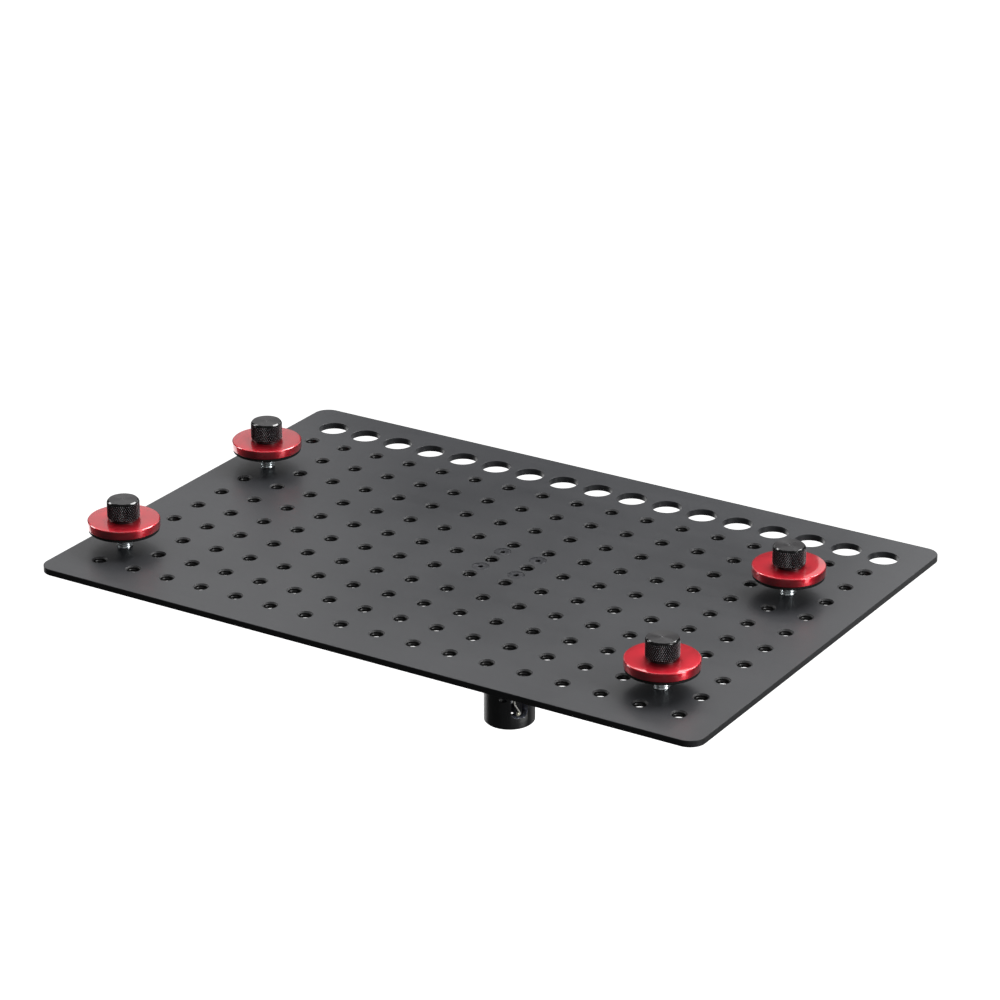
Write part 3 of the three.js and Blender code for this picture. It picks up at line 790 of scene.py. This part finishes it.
ACROSS_UP = Matrix(((0, 0, 1, 0), (1, 0, 0, 0), (0, 1, 0, 0), (0, 0, 0, 1)))  # x across, y up, depth out
OUT_UP = Matrix(((1, 0, 0, 0), (0, 0, -1, 0), (0, 1, 0, 0), (0, 0, 0, 1)))  # x out, y up, depth across


def rounded_rectangle(width, height, corner, steps=10):
    x, y = width / 2 - corner, height / 2 - corner
    return [*arc(x, -y, corner, -90, 0, steps), *arc(x, y, corner, 0, 90, steps),
            *arc(-x, y, corner, 90, 180, steps), *arc(-x, -y, corner, 180, 270, steps)]


def socket_body():
    r, chamfer, lead_in = SOCKET_RADIUS, 0.8 * MM, 1 * MM
    outside = eased([(BORE_RADIUS, lead_in), (BORE_RADIUS + lead_in, 0), (r - chamfer, 0), (r, chamfer),
                     (r, SHOULDER - chamfer), (r - chamfer, SHOULDER), (NECK_RADIUS, SHOULDER),
                     (NECK_RADIUS, NECK_TOP)], TURNED_EASE)
    profile = [(0, BORE_DEPTH + 3 * MM), (BORE_RADIUS, BORE_DEPTH), *outside, (0, NECK_TOP)]
    body = turned("socket", profile, 128, SOCKET_BLACK)
    window = prism("window", rounded_rectangle(WINDOW_WIDTH, WINDOW_HEIGHT, WINDOW_CORNER), r + 2 * MM)
    window.transform(WINDOW_TURN @ Matrix.Translation((0, 0, WINDOW_SILL + WINDOW_HEIGHT / 2)) @ ACROSS_UP)
    pin_hole = prism("pin hole", circle(PIVOT_OUT, PIVOT_HEIGHT, PIVOT_RADIUS + 0.12 * MM, 36), 4 * r)
    pin_hole.transform(WINDOW_TURN @ Matrix.Translation((0, 2 * r, 0)) @ OUT_UP)
    window.materials.append(MILLED)
    body = machined(machined(body, window, ease=0.4 * MM, edge=MILLED), pin_hole)
    piece("spigot-socket", body, "table", replaces=["socket_body"])


def latch_pawl():
    """A lever with a hooked nose, a round boss at the pivot and a tail."""
    foot, top = WINDOW_SILL + 0.8 * MM, PIVOT_HEIGHT + 11 * MM
    tail, half = 1.2 * MM, (PAWL_OUTER - PAWL_INNER) / 2
    nose, nose_low, nose_high = 6.7 * MM, 12.8 * MM, 15 * MM
    lean = math.degrees(math.asin(half / PAWL_BOSS))
    side = [(PAWL_INNER, foot), (PAWL_OUTER, foot),
            *arc(PIVOT_OUT, PIVOT_HEIGHT, PAWL_BOSS, -90 + lean, 90 - lean, 16),
            *arc(PAWL_OUTER - tail, top - tail, tail, 0, 90, 6), (PAWL_INNER, top),
            *arc(PIVOT_OUT, PIVOT_HEIGHT, PAWL_BOSS, 90 + lean, 270 - lean, 16),
            (PAWL_INNER, nose_high), (nose, nose_high), (nose, nose_low), (PAWL_INNER, foot + 1.2 * MM)]
    lever = prism("pawl", side, PAWL_WIDTH)
    lever.transform(Matrix.Translation((0, PAWL_WIDTH / 2, 0)) @ OUT_UP)
    hole = prism("pivot hole", circle(PIVOT_OUT, PIVOT_HEIGHT, PIVOT_RADIUS + 0.1 * MM, 36), 3 * PAWL_WIDTH)
    hole.transform(Matrix.Translation((0, 1.5 * PAWL_WIDTH, 0)) @ OUT_UP)
    piece("latch-pawl", machined(lever, hole, ease=0.2 * MM), "latch", OXIDE,
          WINDOW_TURN, ["latch_pawl"])


def latch_pin():
    """The pin across the window."""
    end = 7.6 * MM
    pin = turned("pin", eased([(0, -end), (PIVOT_RADIUS, -end), (PIVOT_RADIUS, end), (0, end)], 0.3 * MM), 40)
    across = Matrix.Rotation(math.radians(-90), 4, "X")
    piece("latch-pin", pin, "table", ZINC,
          WINDOW_TURN @ Matrix.Translation((PIVOT_OUT, 0, PIVOT_HEIGHT)) @ across, ["latch_pivot_pin"])


def latch_peg():
    """A riveted peg, with room for the wire behind its domed head."""
    head_rim, dome_rise, rivet_end = 0.2 * MM, 0.68 * MM, PAWL_INNER - 0.05 * MM
    head_foot = PAWL_OUTER + 2 * (WIRE_RADIUS + WIRE_CLEARANCE)
    dome = [(PEG_HEAD_RADIUS * math.cos(t), head_foot + head_rim + dome_rise * math.sin(t))
            for t in [math.radians(a) for a in range(0, 90, 10)]]
    peg = turned("peg", [(0, rivet_end), (PEG_RADIUS, rivet_end), (PEG_RADIUS, head_foot),
                         (PEG_HEAD_RADIUS, head_foot), *dome, (0, head_foot + head_rim + dome_rise)], 40)
    piece("latch-peg", peg, "latch", PEG_ZINC,
          WINDOW_TURN @ Matrix.Translation((0, PEG_ACROSS, PEG_HEIGHT)) @ ACROSS_UP, ["latch_peg"])


def latch_spring():
    """Wire with a leg up, a loop round the pivot, a leg down and a hook under the peg."""
    loop, lead, upper_leg, steps = 2.4 * MM, 1.5 * MM, 5 * MM, 32
    left = -WINDOW_WIDTH / 2 + WIRE_RADIUS + WIRE_CLEARANCE
    points = [(PIVOT_OUT + loop, left, PIVOT_HEIGHT + upper_leg)]
    for k in range(steps + 1):
        a = -math.tau * k / steps
        points.append((PIVOT_OUT + loop * math.cos(a), left + lead * k / steps,
                       PIVOT_HEIGHT + loop * math.sin(a)))
    start = Vector((*points[-1][:2], PIVOT_HEIGHT - 0.9 * PAWL_BOSS))
    hook = PEG_RADIUS + WIRE_RADIUS + WIRE_CLEARANCE

    def hook_point(degrees):
        a = math.radians(degrees)
        return Vector((PAWL_OUTER + WIRE_RADIUS + WIRE_CLEARANCE, PEG_ACROSS + hook * math.cos(a),
                       PEG_HEIGHT + hook * math.sin(a)))

    points += [start.lerp(hook_point(50), share) for share in (0, 0.35, 0.7)]
    points += [hook_point(d) for d in range(50, -101, -15)]
    line = bpy.data.curves.new("spring line", "CURVE")
    line.dimensions, line.bevel_depth, line.bevel_resolution, line.use_fill_caps = "3D", WIRE_RADIUS, 3, True
    spline = line.splines.new("NURBS")
    spline.points.add(len(points) - 1)
    for point, place in zip(spline.points, points):
        point.co = (*place, 1)
    spline.order_u, spline.use_endpoint_u, spline.resolution_u = 3, True, 4
    holder = bpy.data.objects.new("spring line", line)
    bpy.context.scene.collection.objects.link(holder)
    graph = bpy.context.evaluated_depsgraph_get()
    spring = bpy.data.meshes.new_from_object(holder.evaluated_get(graph))
    bpy.data.objects.remove(holder)
    piece("latch-spring", spring, "latch", WIRE, WINDOW_TURN, ["latch_spring"], 50)


# Clamps

def clamp_disc():
    """The red disc. Its rim is grooved more than its faces."""
    chamfer = 0.5 * MM
    disc = turned("disc", ring_profile([
        (DISC_BORE, DISC_FOOT), (DISC_RADIUS - chamfer, DISC_FOOT), (DISC_RADIUS, DISC_FOOT + chamfer),
        (DISC_RADIUS, DISC_TOP - chamfer), (DISC_RADIUS - chamfer, DISC_TOP), (DISC_BORE, DISC_TOP),
    ], TURNED_EASE, 2), 160, RED)
    disc.materials.append(RED_RIM)
    for face in disc.polygons:
        face.material_index = int(abs(face.normal.z) < 0.5)
    return disc


def clamp_pad():
    """The rubber ring under the disc."""
    return turned("pad", ring_profile([(PAD_BORE, PAD_FOOT), (PAD_RADIUS, PAD_FOOT), (PAD_RADIUS, PAD_TOP),
                                       (PAD_BORE, PAD_TOP)], 0.3 * MM, 4), 128, RUBBER)


def clamp_ring():
    """The retaining ring, which keeps the disc on its stud."""
    top = THREAD_END + 1 * MM
    return turned("ring", ring_profile([(RING_BORE, THREAD_END), (RING_RADIUS, THREAD_END),
                                        (RING_RADIUS, top), (RING_BORE, top)], TURNED_EASE, 2), 64, OXIDE)


def clamp_knob():
    """A neck with a blind hole, the knurled side, a chamfer and a turned top with a centre mark."""
    low, high = KNOB_FOOT + 0.95 * MM, KNOB_TOP - 0.8 * MM
    root, neck, top_radius, mark = KNURL_RADIUS - KNURL_DEPTH, 9 * MM, 8.86 * MM, 0.8 * MM
    sides = 2 * DIAMONDS_AROUND
    barrel = shaped(knurled_barrel(), height=high - low, finish=KNURL)
    barrel.transform(Matrix.Translation((0, 0, low)))
    foot = turned("knob foot", [
        (0, KNOB_BORE_TOP), (KNOB_BORE, KNOB_BORE_TOP), (KNOB_BORE, KNOB_FOOT), (neck - 0.1 * MM, KNOB_FOOT),
        (neck, KNOB_FOOT + 0.1 * MM), (neck, KNOB_FOOT + 0.7 * MM),
        (neck + 0.4 * MM, KNOB_FOOT + 0.75 * MM), (root, low),
    ], sides, NECK_BLACK)
    rim = turned("knob rim", [(root, high), (top_radius + 0.06 * MM, KNOB_TOP - 0.03 * MM),
                              (top_radius, KNOB_TOP)], sides, RIM_BLACK)
    face = turned("knob face", [(top_radius, KNOB_TOP), (4 * MM, KNOB_TOP), (mark, KNOB_TOP),
                                (mark - 0.1 * MM, KNOB_TOP - 0.06 * MM), (0, KNOB_TOP - 0.45 * MM)],
                  sides, LIT_FACE_BLACK)
    return joined("knob", barrel, foot, rim, face)


def clamp_stud():
    """The thread, a groove for the retaining ring and a shank up into the knob."""
    thread = shaped(threaded_rod(), length=THREAD_END - STUD_END, turns=16, finish=ZINC)
    thread.transform(Matrix.Translation((0, 0, STUD_END)))
    groove, shank_radius, overlap = 3.2 * MM, 3.8 * MM, 0.1 * MM
    shank = turned("shank", [
        (0, THREAD_END - overlap), (groove, THREAD_END - overlap), (groove, DISC_FOOT),
        (shank_radius, DISC_FOOT), (shank_radius, KNOB_BORE_TOP - overlap), (0, KNOB_BORE_TOP - overlap),
    ], 48, ZINC)
    return joined("stud", thread, shank)


def clamps():
    """Each clamp is a copy of five meshes, made on the Z axis with heights from the plate's top."""
    disc, pad, ring, knob, stud = clamp_disc(), clamp_pad(), clamp_ring(), clamp_knob(), clamp_stud()
    for station in STATIONS:
        low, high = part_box(f"{station}_stud")
        place = Matrix.Translation(((low.x + high.x) / 2, (low.y + high.y) / 2, PLATE_TOP))
        words = station.replace("_", "-")
        on_pad, on_screw = f"{station}_clamp_pad", f"{station}_clamp_screw"
        piece(f"{words}-disc", disc.copy(), on_pad, None, place, [f"{station}_disc"])
        piece(f"{words}-pad", pad.copy(), on_pad, None, place, [f"{station}_pad"])
        piece(f"{words}-ring", ring.copy(), on_screw, None, place,
              [f"{station}_retaining_ring"])
        piece(f"{words}-knob", knob.copy(), on_screw, None, place,
              [f"{station}_knob"], 25)
        piece(f"{words}-stud", stud.copy(), on_screw, None, place, [f"{station}_stud"], 70)


# Camera, light and floor

def camera():
    """The photograph's camera, worked out from the hole grid."""
    azimuth, elevation, roll = (math.radians(d) for d in (31.996, 22.907, -0.127))
    right = Vector((math.cos(azimuth), math.sin(azimuth), 0))
    back = Vector((math.sin(azimuth) * math.cos(elevation), -math.cos(azimuth) * math.cos(elevation),
                   math.sin(elevation)))
    up = back.cross(right)
    c, s = math.cos(roll), math.sin(roll)
    turn = Matrix((c * right + s * up, c * up - s * right, back)).transposed()
    data = bpy.data.cameras.new("camera")
    data.lens, data.sensor_width = 136.88, 36
    view = bpy.data.objects.new("camera", data)
    from_plate = Vector((1114.204, -1773.715, 923.585)) * MM
    view.matrix_world = Matrix.Translation(PLATE_CENTRE + from_plate) @ turn.to_4x4()
    bpy.context.scene.collection.objects.link(view)
    bpy.context.scene.camera = view


AWAY, RIGHT = Vector((-0.53, 0.848, 0)), Vector((0.848, 0.53, 0))  # level directions seen by the camera

# Soft panels: metres away from the camera, right and up from the table, then width, height and brightness
PANELS = {
    "back left panel": (0.8, -0.35, 0.42, 0.5, 0.45, 0.6),
    "back right panel": (0.8, 0.48, 0.48, 0.4, 0.45, 1.0),
    "right strip": (-0.64, 1.02, 0.3, 0.32, 0.9, 6.0),
    "wide right strip": (-0.66, 1.06, 0.3, 0.85, 0.8, 0.9),
    "right softbox": (-0.67, 1.07, 1.05, 0.5, 0.5, 9.0),
    "high right softbox": (0.3, 1.2, 1.28, 0.8, 0.8, 0.4),
    "overhead softbox": (0.7, 0.0, 1.4, 1.4, 1.4, 3.0),
    "overhead left softbox": (0.6, -1.0, 1.3, 0.45, 0.45, 7.5),
    "overhead right softbox": (0.5, 0.9, 1.4, 0.85, 0.85, 11.0),
    "left softbox": (0.4, -1.0, 0.57, 0.3, 0.3, 8.0),
    "low right panel": (0.6, 0.75, -0.3, 0.8, 0.5, 0.6),
    "low left panel": (0.7, -0.5, -0.25, 0.8, 0.4, 2.0),
    "front panel": (-1.0, 0.1, 0.5, 1.8, 0.8, 0.35),
    "low front panel": (-0.95, 0.4, -0.4, 0.7, 0.4, 0.3),
    "low right strip": (-0.6, 0.9, -0.1, 0.2, 0.4, 2.0),
}
AMBIENT = 0.06


def panel(name, away, right, up, width, height, brightness):
    """Rectangular area light that faces the table."""
    data = bpy.data.lights.new(name, "AREA")
    data.shape, data.size, data.size_y = "RECTANGLE", width, height
    data.energy = brightness * math.pi * width * height
    lamp = bpy.data.objects.new(name, data)
    lamp.location = AWAY * away + RIGHT * right + Vector((0, 0, up))
    lamp.rotation_euler = (Vector((0, 0, 0.1)) - lamp.location).to_track_quat("-Z", "Y").to_euler()
    lamp.visible_camera = False
    bpy.context.scene.collection.objects.link(lamp)


def studio():
    """Soft panels round the table, a pale floor and a white room."""
    world = bpy.data.worlds.new("studio")
    world.use_nodes = True
    bpy.context.scene.world = world
    nodes, links = world.node_tree.nodes, world.node_tree.links
    seen = nodes.new("ShaderNodeLightPath").outputs["Is Camera Ray"]
    strength = nodes.new("ShaderNodeMix")
    links.new(seen, strength.inputs["Factor"])
    strength.inputs["A"].default_value = AMBIENT
    strength.inputs["B"].default_value = 1.0
    links.new(strength.outputs["Result"], nodes["Background"].inputs["Strength"])
    nodes["Background"].inputs["Color"].default_value = (1, 1, 1, 1)
    for name, values in PANELS.items():
        panel(name, *values)
    half, drop = 30, -1.3
    mesh = bpy.data.meshes.new("floor")
    mesh.from_pydata([(-half, -half, drop), (half, -half, drop), (half, half, drop), (-half, half, drop)], [],
                     [(0, 1, 2, 3)])
    floor = bpy.data.objects.new("floor", mesh)
    bpy.context.scene.collection.objects.link(floor)
    f = Finish("pale floor", Roughness=0.8, Emission_Strength=1.05)
    f.colour((0.86, 0.86, 0.86, 1.0))
    f.shader.inputs["Emission Color"].default_value = (1, 1, 1, 1)
    mesh.materials.append(f.material)
    floor.visible_glossy = floor.visible_diffuse = False
    bpy.context.scene.view_settings.view_transform = "Standard"


camera()
table_plate()
mounting_flange()
flange_screws()
socket_body()
latch_pawl()
latch_pin()
latch_peg()
latch_spring()
clamps()
studio()
